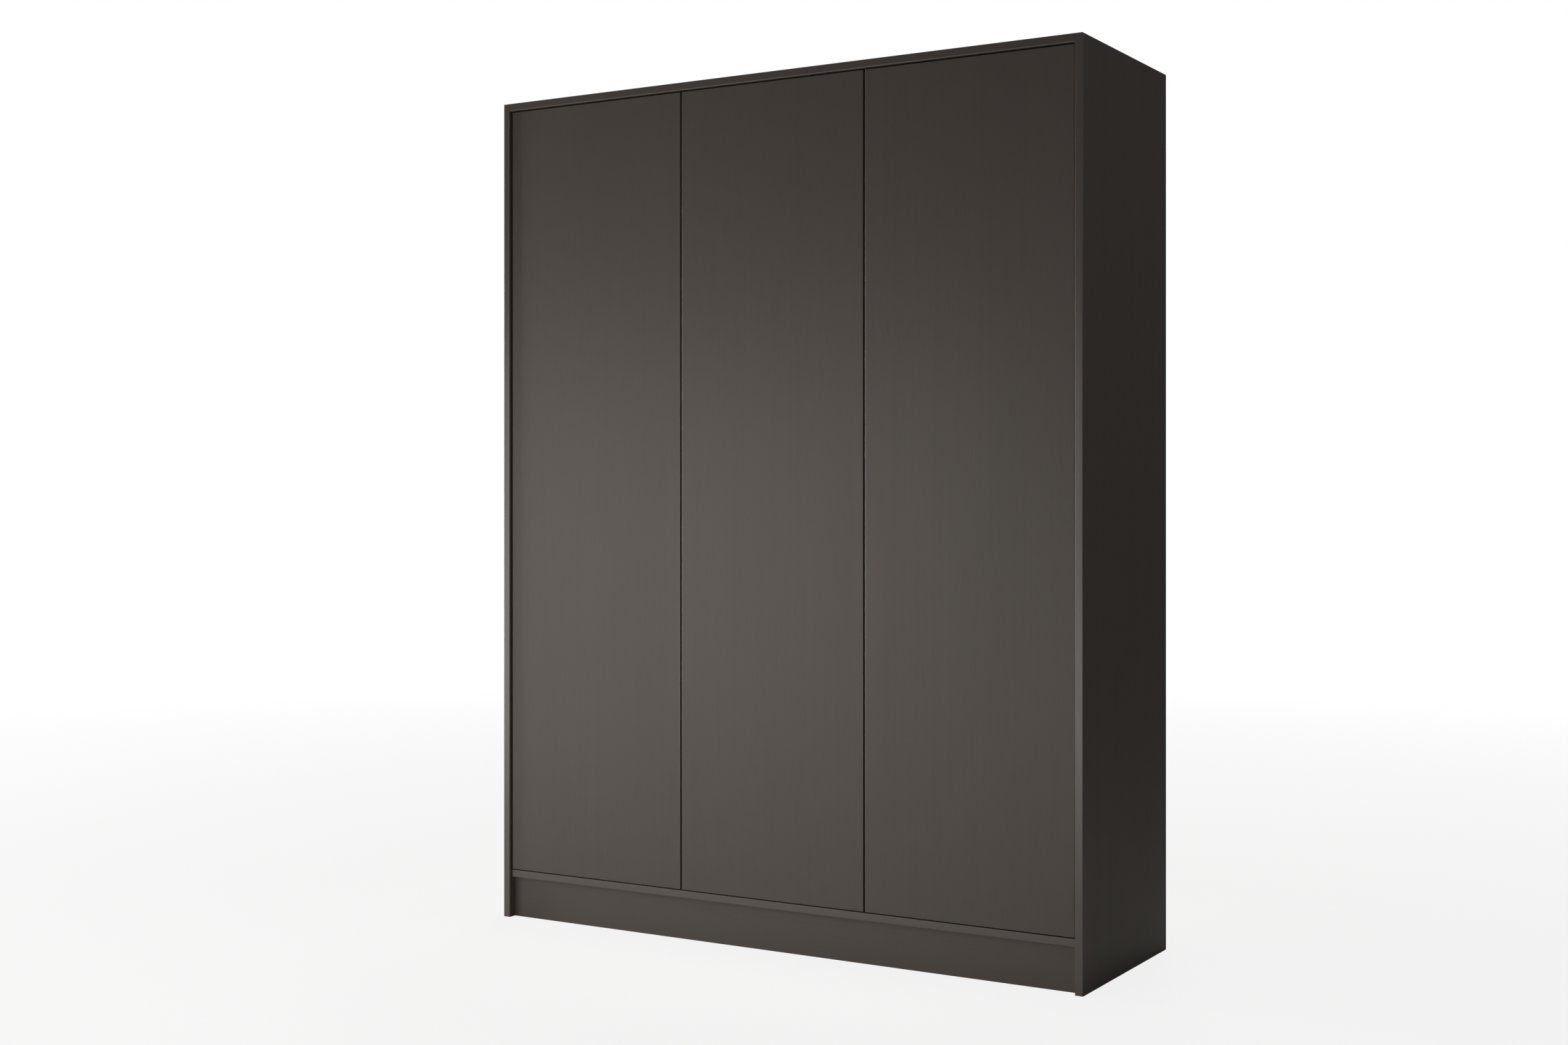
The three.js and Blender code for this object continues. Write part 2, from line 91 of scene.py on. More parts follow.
# Nails, caps and bumpers: their (radius, height) profiles, and where they sit
NAIL_PROFILE = ((2.1 * MM, -0.4 * MM), (2.1 * MM, 0.25 * MM), (1.5 * MM, 0.5 * MM), (0, 0.58 * MM))
NAIL_STEP = 105 * MM
NAIL_FROM_EDGE = 4.5 * MM
NAIL_FROM_CORNER = 12 * MM
CAP_RADIUS = 8.5 * MM
CAP_PROFILE = (
    (CAP_RADIUS, -0.5 * MM), (CAP_RADIUS, 0.5 * MM), (CAP_RADIUS - 0.6 * MM, 0.9 * MM),
    (3 * MM, 1.0 * MM), (2.4 * MM, 0.6 * MM), (0, 0.6 * MM),
)
CAP_FROM_WALL = 34 * MM  # from the side panel or the divider next to it
CAP_FROM_FRONT = 126 * MM
CAP_FROM_REAR = 70 * MM
HAT_CAP_SHIFT = 6 * MM  # the hat shelf's caps sit this much further back
BUMPER_PROFILE = (
    (4 * MM, -0.1 * MM), (4 * MM, 0.7 * MM), (3.3 * MM, 1.4 * MM), (1.8 * MM, 1.7 * MM), (0, 1.75 * MM),
)
BUMPER_FROM_FACE = 7 * MM  # from the divider's right face
BUMPER_FROM_END = 60 * MM

# Hinges: FROM_REAR is from the arm's rear end, SEAT from the panel's face and RISE from the hinge's height
PLATE_FROM_REAR = 30 * MM  # to the middle of the mounting plate
PLATE_WINGS = ((26 * MM, 9 * MM, 2.2 * MM), (10 * MM, 25 * MM, 2.05 * MM))  # half depth, half height, sheet
PLATE_ROUND = 3.5 * MM
PLATE_SCREW_SEAT = 2.0 * MM
PLATE_SCREW_RISE = 17 * MM
CUP_SCREW_RISE = 24.5 * MM
ARM_SCREW_SEAT = 10.0 * MM
ARM_SCREWS_FROM_REAR = (12 * MM, 44 * MM)

# The camera's place, turn, lens in mm and shift, fitted to the photograph's perspective
CAMERA_PLACE = (2.336, -4.1397, 1.0503)
CAMERA_TURN = math.radians(31.07)
CAMERA_LENS = 45.94
CAMERA_SENSOR = 36.0
CAMERA_SHIFT = (0.01183, -0.02069)

# The studio: each light's name, place, aim, width, height, watts and spread in degrees
LIGHTS = (
    ("key_light", (-0.9, -1.7, 1.15), (-0.5, -0.25, 0.7), 2.0, 0.7, 5.6, 180),
    ("low_key", (-1.8, -2.4, 0.45), (-0.3, -0.25, 0.6), 2.0, 0.8, 9.8, 180),
    ("left_strip", (-6.0, -1.1, 1.0), (0.0, -0.25, 0.8), 1.0, 3.0, 160.0, 180),
    ("floor_glow", (0.2, -2.6, 0.35), (0.1, -0.25, 0.5), 2.4, 0.6, 7.4, 180),
    ("right_fill", (4.6, 1.4, 2.6), (0.76, 0.0, 2.0), 2.0, 2.0, 3.2, 80),
    ("rear_fill", (-1.5, 5.0, 1.8), (0.0, 0.25, 0.9), 3.0, 2.0, 14.0, 60),
    ("top_fill", (0.0, 0.0, 4.6), (0.0, 0.0, 2.0), 1.5, 0.45, 2.1, 25),
)
WARM = (1.0, 0.995, 0.955)
WHITE = (1.0, 1.0, 1.0, 1.0)
SURROUND = 0.07  # the surround's strength as a light; the camera sees it plain white
FLOOR_SIZE = 30.0
FLOOR_GLOW = 0.85  # how far the floor near the wardrobe is lifted towards white, as the camera sees it
FLOOR_NEAR, FLOOR_FAR = 1.0, 6.0  # where that starts to rise, and where the floor becomes plain white

DECOR = (0.1038, 0.0846, 0.0728)
MIX_FIRST, MIX_SECOND, MIX_RESULT = 6, 7, 2  # the Mix node's colour sockets


# ---------- materials ----------

class Nodes:
    """A small help for writing a node tree: add nodes, set their values and link their sockets."""

    def __init__(self, name):
        self.material = bpy.data.materials.new(name)
        self.material.use_nodes = True
        self.tree = self.material.node_tree
        self.tree.nodes.clear()
        self.shader = self.add("ShaderNodeBsdfPrincipled")
        self.output = self.add("ShaderNodeOutputMaterial")
        self.link(self.shader.outputs["BSDF"], self.output.inputs["Surface"])
        self.coords = self.add("ShaderNodeTexCoord").outputs["Object"]

    def add(self, kind, **settings):
        made = self.tree.nodes.new(kind)
        for key, value in settings.items():
            setattr(made, key, value)
        return made

    def link(self, source, target):
        self.tree.links.new(source, target)

    def set_or_link(self, value, socket):
        """value is a number, a colour or another node's output."""
        if isinstance(value, (int, float)):
            socket.default_value = value
        elif isinstance(value, tuple):
            socket.default_value = (*value, 1.0)
        else:
            self.link(value, socket)

    def texture(self, kind, scale, **values):
        """A texture in the object's own metres; scale is features per metre along X, Y and Z."""
        stretch = self.add("ShaderNodeMapping")
        stretch.inputs["Scale"].default_value = scale
        self.link(self.coords, stretch.inputs["Vector"])
        made = self.add(kind)
        made.inputs["Scale"].default_value = 1.0
        for name, value in values.items():
            made.inputs[name].default_value = value
        self.link(stretch.outputs["Vector"], made.inputs["Vector"])
        return made.outputs

    def noise(self, scale, detail, distortion=0.0):
        return self.texture("ShaderNodeTexNoise", scale, Detail=detail, Distortion=distortion)["Fac"]

    def chips(self, scale):
        """One random grey per cell."""
        made = self.add("ShaderNodeRGBToBW")
        self.link(self.texture("ShaderNodeTexVoronoi", scale)["Color"], made.inputs["Color"])
        return made.outputs["Val"]

    def span(self, value, low, high, start=0.0, end=1.0):
        """value from low..high mapped to start..end, held at both ends."""
        made = self.add("ShaderNodeMapRange")
        made.inputs["From Min"].default_value = low
        made.inputs["From Max"].default_value = high
        made.inputs["To Min"].default_value = start
        made.inputs["To Max"].default_value = end
        self.link(value, made.inputs["Value"])
        return made.outputs["Result"]

    def combine(self, operation, a, b):
        made = self.add("ShaderNodeMath", operation=operation)
        self.set_or_link(a, made.inputs[0])
        self.set_or_link(b, made.inputs[1])
        return made.outputs["Value"]

    def blend(self, factor, first, second):
        made = self.add("ShaderNodeMix", data_type="RGBA")
        self.link(factor, made.inputs["Factor"])
        self.set_or_link(first, made.inputs[MIX_FIRST])
        self.set_or_link(second, made.inputs[MIX_SECOND])
        return made.outputs[MIX_RESULT]

    def bump(self, height, distance, strength, normal=None):
        made = self.add("ShaderNodeBump")
        made.inputs["Strength"].default_value = strength
        made.inputs["Distance"].default_value = distance
        self.link(height, made.inputs["Height"])
        if normal is not None:
            self.link(normal, made.inputs["Normal"])
        return made.outputs["Normal"]

    def finish(self, colour, roughness, normal=None, **constants):
        self.link(colour, self.shader.inputs["Base Color"])
        self.link(roughness, self.shader.inputs["Roughness"])
        if normal is not None:
            self.link(normal, self.shader.inputs["Normal"])
        for name, value in constants.items():
            self.shader.inputs[name.replace("_", " ")].default_value = value
        return self.material


def along(grain, across, lengthwise):
    """Features per metre: lengthwise along the grain axis, across on the other two."""
    return tuple(lengthwise if axis == grain else across for axis in "xyz")


def even(scale):
    """The same number of features per metre on all three axes."""
    return (scale, scale, scale)


def shade(colour, factor):
    return tuple(part * factor for part in colour)


def laminate(name, grain, colour=DECOR, contrast=1.0, gloss=0.46, specular=0.5):
    """Matte melamine decor with a faint stretched grain, short pores and a fine embossed surface."""
    n = Nodes(name)
    streaks = n.noise(along(grain, 190, 1.7), 5, 0.35)
    bands = n.noise(along(grain, 21, 0.55), 3, 0.8)
    pores = n.span(n.noise(along(grain, 1150, 19), 2), 0.60, 0.70)
    cloud = n.noise(along(grain, 2.4, 1.1), 2)
    emboss = n.noise(even(2600), 1)

    tone = n.combine("ADD", n.combine("MULTIPLY", streaks, 0.55), n.combine("MULTIPLY", bands, 0.45))
    tone = n.span(tone, 0.36, 0.64)
    spread = 0.03 * contrast
    base = n.blend(tone, shade(colour, 1 - spread), shade(colour, 1 + spread))
    base = n.blend(n.span(cloud, 0.3, 0.7, 0.0, 0.06 * contrast), base, shade(colour, 1.25))
    base = n.blend(n.combine("MULTIPLY", pores, 0.30 * contrast), base, shade(colour, 0.5))

    rough = n.span(tone, 0.0, 1.0, gloss + 0.012, gloss - 0.012)
    rough = n.combine("ADD", rough, n.span(cloud, 0.3, 0.7, -0.015, 0.02))
    normal = n.bump(emboss, 0.012 * MM, 0.5)
    relief = n.combine("SUBTRACT", n.combine("MULTIPLY", streaks, 0.2), pores)
    normal = n.bump(relief, 0.03 * MM, 0.4, normal)
    return n.finish(base, rough, normal, Specular_IOR_Level=specular)


def chipboard(name):
    """Raw particle board: pale and dark chips with fine dust between them."""
    n = Nodes(name)
    chips = n.chips((520, 300, 420))
    dust = n.noise(even(1500), 3)
    base = n.blend(n.span(chips, 0.25, 0.75), (0.16, 0.105, 0.058), (0.40, 0.30, 0.185))
    base = n.blend(n.span(dust, 0.35, 0.65, 0.0, 0.45), base, (0.27, 0.19, 0.11))
    rough = n.span(dust, 0.3, 0.7, 0.82, 0.95)
    normal = n.bump(n.combine("ADD", chips, dust), 0.25 * MM, 0.7)
    return n.finish(base, rough, normal)


def hardboard(name):
    """The raw brown side of thin fibreboard: felted fibres and faint long cloudy marks."""
    n = Nodes(name)
    fibres = n.noise((420, 420, 160), 6, 1.2)
    marks = n.noise((7, 7, 2.2), 3)
    specks = n.span(n.noise((900, 900, 700), 1), 0.66, 0.74)
    base = n.blend(n.span(fibres, 0.35, 0.65), (0.20, 0.125, 0.070), (0.285, 0.185, 0.108))
    base = n.blend(n.span(marks, 0.35, 0.7, 0.0, 0.4), base, (0.33, 0.225, 0.138))
    base = n.blend(n.combine("MULTIPLY", specks, 0.6), base, (0.11, 0.066, 0.038))
    rough = n.span(fibres, 0.3, 0.7, 0.66, 0.8)
    normal = n.bump(fibres, 0.08 * MM, 0.6)
    return n.finish(base, rough, normal)


def metal(name, colour, gloss, brush=(60, 60, 900), wear=0.05):
    """Plated metal: fine brushed lines, dull patches and faint darkening."""
    n = Nodes(name)
    lines = n.noise(brush, 3)
    patches = n.noise(even(55), 4, 0.4)
    base = n.blend(n.span(patches, 0.3, 0.7), shade(colour, 1 - 2 * wear), shade(colour, 1 + wear))
    dull = n.span(patches, 0.3, 0.7, gloss - 0.04, gloss + 0.07)
    rough = n.combine("ADD", dull, n.span(lines, 0.3, 0.7, -0.02, 0.05))
    normal = n.bump(lines, 0.01 * MM, 0.35)
    return n.finish(base, rough, normal, Metallic=1.0)


def plastic(name, colour, gloss):
    """Moulded plastic with a fine spark-eroded grain."""
    n = Nodes(name)
    grain = n.noise(even(1800), 2)
    flow = n.noise((40, 40, 15), 3)
    base = n.blend(n.span(flow, 0.3, 0.7), shade(colour, 0.9), shade(colour, 1.12))
    rough = n.span(grain, 0.3, 0.7, gloss - 0.06, gloss + 0.08)
    normal = n.bump(grain, 0.04 * MM, 0.6)
    return n.finish(base, rough, normal)


FACE = {grain: laminate(f"decor_{grain}", grain) for grain in "xyz"}
EDGE = {
    grain: laminate(f"edge_band_{grain}", grain, shade(DECOR, 1.04), 0.6, 0.30, 0.9) for grain in "xyz"
}
RAW = chipboard("raw_chipboard")
FIBRE = hardboard("raw_hardboard")
NICKEL = metal("nickel_steel", (0.60, 0.585, 0.56), 0.30)
ZINC = metal("die_cast_zinc", (0.42, 0.415, 0.41), 0.42, (300, 300, 300), 0.08)
CHROME = metal("chrome_rail", (0.74, 0.745, 0.75), 0.12, (12, 1400, 1400), 0.02)
DARK = plastic("dark_plastic", (0.026, 0.025, 0.024), 0.48)
GREY = plastic("grey_plastic", (0.15, 0.148, 0.144), 0.5)
CLEAR = plastic("bumper_silicone", (0.42, 0.42, 0.41), 0.35)


# ---------- mesh help ----------

def add_object(name, data):
    made = bpy.data.objects.new(name, data)
    bpy.context.scene.collection.objects.link(made)
    return made


def mesh_from(name, bm):
    """Turns a bmesh into a mesh and frees it."""
    mesh = bpy.data.meshes.new(name)
    bm.to_mesh(mesh)
    bm.free()
    return mesh


def make_piece(name, bm, materials, body, stands_for=()):
    """Turns a bmesh into a piece that rides on a body and wears the given materials."""
    bmesh.ops.recalc_face_normals(bm, faces=bm.faces)
    mesh = mesh_from(name, bm)
    for material in materials:
        mesh.materials.append(material)
    mesh.shade_smooth()
    mesh.set_sharp_from_angle(angle=SOFT_ANGLE)
    piece = add_object(name, mesh)
    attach(piece, body)
    if stands_for:
        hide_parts(*stands_for)
    weighted = piece.modifiers.new("weighted_normals", "WEIGHTED_NORMAL")
    weighted.keep_sharp = True
    return piece


def add_box(bm, low, high):
    """Adds a box to bm and gives its vertices."""
    low, high = Vector(low), Vector(high)
    made = bmesh.ops.create_cube(bm, size=1.0)["verts"]
    for vert in made:
        vert.co = Vector(low[i] if vert.co[i] < 0 else high[i] for i in range(3))
    return made


def round_edges(bm, edges, radius, segments):
    if edges:
        bmesh.ops.bevel(bm, geom=edges, offset=radius, segments=segments, profile=0.5, affect="EDGES")


def edges_of(verts):
    """The edges with both ends among verts."""
    kept = set(verts)
    return [edge for edge in {e for v in verts for e in v.link_edges} if set(edge.verts) <= kept]


def cad_copy(node):
    """A clean copy of a CAD node's mesh: welded, with flat faces joined up."""
    bm = bmesh.new()
    bm.from_mesh(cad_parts[node].data)
    bmesh.ops.remove_doubles(bm, verts=bm.verts, dist=WELD)
    bmesh.ops.dissolve_limit(bm, angle_limit=math.radians(1.0), verts=bm.verts, edges=bm.edges)
    return bm


def seat(place, direction):
    """The transform that puts the origin on place and +Z along direction."""
    turned = Vector(direction).to_track_quat("Z", "Y").to_matrix().to_4x4()
    return Matrix.Translation(place) @ turned


def around(radius, sides):
    """Points round a circle, as (x, y) pairs."""
    angles = [2 * math.pi * i / sides for i in range(sides)]
    return [(radius * math.cos(angle), radius * math.sin(angle)) for angle in angles]


def add_lathe(bm, profile, place, direction, sides):
    """Turns (radius, height) points about an axis through place. A radius of 0 closes the end."""
    matrix = seat(place, direction)
    rings = []
    for radius, height in profile:
        points = around(radius, sides) if radius else [(0, 0)]
        rings.append([bm.verts.new(matrix @ Vector((x, y, height))) for x, y in points])
    for lower, upper in zip(rings, rings[1:]):
        for i in range(sides):
            j = (i + 1) % sides
            corners = [ring[k % len(ring)] for ring, k in ((lower, i), (lower, j), (upper, j), (upper, i))]
            bm.faces.new(list(dict.fromkeys(corners)))


def add_screw(bm, place, direction, radius):
    """A low domed screw head with a cross recess, standing on place."""
    matrix = seat(place, direction)
    cross_half, cross_reach = CROSS_HALF_WIDTH * radius, CROSS_REACH * radius
    grid = []
    for ring in range(1, SCREW_RINGS + 1):
        reach = radius * ring / SCREW_RINGS
        row = []
        for x, y in around(reach, SCREW_SIDES):
            height = SCREW_DOME * (1 - (ring / SCREW_RINGS) ** 3)
            if min(abs(x), abs(y)) < cross_half and reach < cross_reach:
                height -= CROSS_DEPTH
            row.append(bm.verts.new(matrix @ Vector((x, y, height))))
        grid.append(row)
    centre = bm.verts.new(matrix @ Vector((0, 0, SCREW_DOME - CROSS_DEPTH)))
    foot = [bm.verts.new(matrix @ Vector((x, y, -SCREW_SINK))) for x, y in around(radius, SCREW_SIDES)]
    under = bm.verts.new(matrix @ Vector((0, 0, -SCREW_SINK)))
    for i in range(SCREW_SIDES):
        j = (i + 1) % SCREW_SIDES
        bm.faces.new((centre, grid[0][i], grid[0][j]))
        for inner, outer in zip(grid, grid[1:]):
            bm.faces.new((inner[i], outer[i], outer[j], inner[j]))
        bm.faces.new((grid[-1][i], foot[i], foot[j], grid[-1][j]))
        bm.faces.new((foot[i], under, foot[j]))


def screws(name, places, body, radius, material=NICKEL):
    """One piece of several equal screw heads; places holds (point, direction) pairs."""
    bm = bmesh.new()
    for place, direction in places:
        add_screw(bm, place, direction, radius)
    make_piece(name, bm, [material], body)


def lathes(name, places, profile, body, material, sides):
    """One piece of several equal turned shapes; places holds (point, direction) pairs."""
    bm = bmesh.new()
    for place, direction in places:
        add_lathe(bm, profile, place, direction, sides)
    make_piece(name, bm, [material], body)


def refine(node, body, material, radius, segments=2):
    """A CAD node's shape with its sharp edges rounded."""
    bm = cad_copy(node)
    sharp = [e for e in bm.edges if len(e.link_faces) == 2 and e.calc_face_angle(0) > SHARP_ANGLE]
    round_edges(bm, sharp, radius, segments)
    make_piece(f"{node}_shape", bm, [material], body, [node])


# ---------- boards ----------

def drill(piece, holes, radius, depth):
    """Cuts blind round holes into a piece; holes holds (mouth, direction into the board) pairs."""
    above, cone = 1.0 * MM, 0.6 * MM
    profile = ((0, 0), (radius, 0), (radius, depth + above), (0, depth + above + cone))
    cutter_bm = bmesh.new()
    for mouth, inward in holes:
        add_lathe(cutter_bm, profile, mouth - inward * above, inward, HOLE_SIDES)
    bmesh.ops.recalc_face_normals(cutter_bm, faces=cutter_bm.faces)
    cutter = add_object("cutter", mesh_from("cutter", cutter_bm))
    # The piece's other modifiers are off while the cut is applied, and stay on it.
    others = list(piece.modifiers)
    cut = piece.modifiers.new("holes", "BOOLEAN")
    cut.operation, cut.solver, cut.object = "DIFFERENCE", "EXACT", cutter
    for modifier in others:
        modifier.show_viewport = False
    evaluated = piece.evaluated_get(bpy.context.evaluated_depsgraph_get())
    result = bpy.data.meshes.new_from_object(evaluated)
    for modifier in others:
        modifier.show_viewport = True
    piece.modifiers.remove(cut)
    piece.data = result
    bpy.data.objects.remove(cutter)


def paint(piece, low, high, bare):
    """Gives slot 1 (raw board) to the faces that look towards a bare side or lie inside the board."""
    for polygon in piece.data.polygons:
        centre, normal = polygon.center, polygon.normal
        axis = max(range(3), key=lambda i: abs(normal[i]))
        outer = high[axis] if normal[axis] > 0 else low[axis]
        on_surface = abs(centre[axis] - outer) < BAND + 0.1 * MM
        side = next(s for s, (a, sign) in SIDES.items() if a == axis and sign * normal[axis] > 0)
        polygon.material_index = 1 if (side in bare or not on_surface) else 0


def add_band(node, side, earlier, grain, body):
    """The edge band on one side of a board, rounded where it meets the two faces."""
    axis, sign = SIDES[side]
    low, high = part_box(node)
    inner = Vector(low), Vector(high)
    if sign < 0:
        inner[1][axis] = low[axis] + BAND
    else:
        inner[0][axis] = high[axis] - BAND
    # The bands fixed earlier on the neighbouring sides run past this one's ends.
    for other in earlier:
        other_axis, other_sign = SIDES[other]
        if other_axis == axis:
            continue
        if other_sign < 0:
            inner[0][other_axis] += BAND
        else:
            inner[1][other_axis] -= BAND
    bm = bmesh.new()
    verts = add_box(bm, *inner)
    outer = low[axis] if sign < 0 else high[axis]
    outer_verts = [v for v in verts if abs(v.co[axis] - outer) < WELD]
    round_edges(bm, edges_of(outer_verts), BAND_ROUND, segments=4)
    make_piece(f"{node}_band_{side}", bm, [EDGE[grain]], body)


def board(node, grain, banded, body="carcass", bare=("rear",), holes=()):
    """A laminated board in place of a CAD node, with its bands as separate pieces."""
    bm = cad_copy(node)
    low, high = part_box(node)
    for side in banded:
        axis, sign = SIDES[side]
        outer = low[axis] if sign < 0 else high[axis]
        for vert in bm.verts:
            if abs(vert.co[axis] - outer) < WELD:
                vert.co[axis] = outer - sign * BAND
    core = make_piece(f"{node}_board", bm, [FACE[grain], RAW], body, [node])
    if holes:
        drill(core, holes, PIN_RADIUS, HOLE_DEPTH)
    paint(core, low, high, bare)
    for i, side in enumerate(banded):
        add_band(node, side, banded[:i], grain, body)


def hinge_heights(door):
    """The heights of a door's hinges."""
    count = sum(1 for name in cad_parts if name.startswith(f"hinge_cup_{door}_"))
    boxes = [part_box(f"hinge_cup_{door}_{i + 1}") for i in range(count)]
    return [(low.z + high.z) / 2 for low, high in boxes]


def pin_rows():
    """The Y of the two rows of shelf-pin holes."""
    low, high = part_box("divider_panel")
    return low.y + PIN_ROW_FRONT, high.y - PIN_ROW_REAR


def bay_walls():
    """The two walls of the shelf bay, as (X, direction into the bay) pairs."""
    return (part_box("divider_panel")[1].x, X), (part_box("right_side_panel")[0].x, -X)


def hole_rows(wall_x, into_bay):
    """The shelf-pin holes in a wall of the shelf bay, leaving out those behind a hinge."""
    low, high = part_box("divider_panel")
    heights = hinge_heights("right")
    count = int((high.z - low.z - 2 * HOLE_END) / HOLE_PITCH) + 1
    holes = []
    for y in pin_rows():
        for i in range(count):
            z = low.z + HOLE_END + i * HOLE_PITCH
            if all(abs(z - height) > HINGE_CLEAR for height in heights):
                holes.append((Vector((wall_x, y, z)), -into_bay))
    return holes


def carcass_boards():
    divider_wall, right_wall = bay_walls()
    to_floor = ("rear", "bottom")
    board("left_side_panel", "z", ["front", "top"], bare=to_floor)
    board("right_side_panel", "z", ["front", "top"], bare=to_floor, holes=hole_rows(*right_wall))
    board("divider_panel", "z", ["front"], holes=hole_rows(*divider_wall))
    board("top_panel", "x", ["front"])
    board("bottom_panel", "x", ["front"])
    board("plinth_front", "x", [], bare=("rear", "bottom", "top"))
    board("plinth_rear", "x", [], bare=("bottom", "top"))
    board("plinth_support", "y", [], bare=("bottom", "top"))
    board("hat_shelf", "x", ["front"])
    for i in LOOSE_SHELVES:
        board(f"shelf_{i}", "x", ["front"])


def doors():
    banded = ["left", "right", "top", "bottom"]
    for door in DOORS:
        board(f"door_{door}", "z", banded, f"{door}_door", bare=())


# ---------- back ----------

def back_sheets():
    """Thin fibreboard: printed decor inside, raw brown outside."""
    for part in ("left", "middle", "right"):
        node = f"back_panel_{part}"
        bm = cad_copy(node)
        round_edges(bm, list(bm.edges), 0.25 * MM, segments=1)
        piece = make_piece(f"{node}_sheet", bm, [FACE["z"], FIBRE], "carcass", [node])
        for polygon in piece.data.polygons:
            polygon.material_index = 0 if polygon.normal.y < -0.5 else 1
    refine("back_joining_strip", "carcass", DARK, 0.2 * MM)


def back_nails():
    """Nail heads along the outer edges, the divider and the top and bottom panels."""
    left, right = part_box("back_panel_left"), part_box("back_panel_right")
    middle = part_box("back_panel_middle")
    rear = left[1].y
    bottom_edge, top_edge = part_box("bottom_panel"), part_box("top_panel")
    bottom_z = (bottom_edge[0].z + bottom_edge[1].z) / 2
    top_z = (top_edge[0].z + top_edge[1].z) / 2
    columns_x = (
        left[0].x + NAIL_FROM_EDGE, right[1].x - NAIL_FROM_EDGE,
        middle[1].x - NAIL_FROM_EDGE, right[0].x + NAIL_FROM_EDGE,
    )
    places = []
    count_z = int((top_z - bottom_z) / NAIL_STEP)
    for x in columns_x:
        for i in range(1, count_z):
            places.append(Vector((x, rear, bottom_z + (top_z - bottom_z) * i / count_z)))
    width = right[1].x - left[0].x
    count_x = int(width / NAIL_STEP)
    for z in (bottom_z, top_z):
        for i in range(count_x + 1):
            x = left[0].x + NAIL_FROM_CORNER + (width - 2 * NAIL_FROM_CORNER) * i / count_x
            places.append(Vector((x, rear, z)))
    facing = [(place, Y) for place in places]
    lathes("back_nails", facing, NAIL_PROFILE, "carcass", ZINC, sides=10)


# ---------- inside fittings ----------

def oval_ring(bm, x, centre, half_width, half_height, steps=14):
    """A ring of vertices round an upright oval at one X."""
    straight = half_height - half_width
    ring = []
    for end in (1, -1):
        for i in range(steps + 1):
            angle = math.pi * i / steps + (0 if end > 0 else math.pi)
            y = centre.y + half_width * math.cos(angle)
            z = centre.z + end * straight + half_width * math.sin(angle)
            ring.append(bm.verts.new((x, y, z)))
    return ring


def hanging_rail():
    """An oval chromed tube with a real wall, open at both ends."""
    low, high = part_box("hanging_rail")
    centre = (low + high) / 2
    half_width, half_height = (high.y - low.y) / 2, (high.z - low.z) / 2
    wall, ease = 1.2 * MM, 0.3 * MM
    stations = (
        (low.x, wall), (low.x, ease), (low.x + ease, 0),
        (high.x - ease, 0), (high.x, ease), (high.x, wall),
    )
    bm = bmesh.new()
    rings = [oval_ring(bm, x, centre, half_width - inset, half_height - inset) for x, inset in stations]
    for first, second in zip(rings, rings[1:] + rings[:1]):
        for i in range(len(first)):
            j = (i + 1) % len(first)
            bm.faces.new((first[i], first[j], second[j], second[i]))
    make_piece("hanging_rail_tube", bm, [CHROME], "carcass", ["hanging_rail"])


def rail_fittings():
    """The rail's two sockets and its centre bracket, with their screws."""
    refine("rail_socket_left", "carcass", NICKEL, 0.5 * MM)
    refine("rail_socket_right", "carcass", NICKEL, 0.5 * MM)
    refine("rail_centre_bracket", "carcass", NICKEL, 0.4 * MM)
    socket_seat, bracket_seat = 2.05 * MM, 2.55 * MM  # the heads' distance from the board behind the fitting
    from_bottom, from_top, from_front = 10 * MM, 8 * MM, 9 * MM
    places = []
    for side, inward in (("left", X), ("right", -X)):
        low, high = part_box(f"rail_socket_{side}")
        wall = low.x if side == "left" else high.x
        middle_y = (low.y + high.y) / 2
        for z in (low.z + from_bottom, high.z - from_top):
            places.append((Vector((wall, middle_y, z)) + inward * socket_seat, inward))
    low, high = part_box("rail_centre_bracket")
    places.append((Vector(((low.x + high.x) / 2, low.y + from_front, high.z - bracket_seat)), -Z))
    screws("rail_screws", places, "carcass", HEAD_RADIUS["rail"])


def wall_brackets():
    """Two angles at the top rear: two screws up into the top panel, and one for the wall."""
    sheet_seat = 2.05 * MM  # the heads' distance from the board behind the bracket
    offsets_from_front, from_bottom = (12 * MM, 34 * MM), 14 * MM
    places = []
    for side in ("left", "right"):
        node = f"wall_bracket_{side}"
        refine(node, "carcass", NICKEL, 0.5 * MM)
        low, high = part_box(node)
        middle = (low.x + high.x) / 2
        for offset in offsets_from_front:
            places.append((Vector((middle, low.y + offset, high.z - sheet_seat)), -Z))
        places.append((Vector((middle, high.y - sheet_seat, low.z + from_bottom)), -Y))
    screws("wall_bracket_screws", places, "carcass", HEAD_RADIUS["wall"])


def shelf_pins():
    """Four steel pins under each loose shelf, their collars against the walls."""
    for i in LOOSE_SHELVES:
        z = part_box(f"shelf_{i}")[0].z - PIN_BODY
        places = []
        for y in pin_rows():
            for wall_x, into_bay in bay_walls():
                places.append((Vector((wall_x, y, z)), into_bay))
        lathes(f"shelf_pins_{i}", places, PIN_PROFILE, "carcass", NICKEL, sides=16)


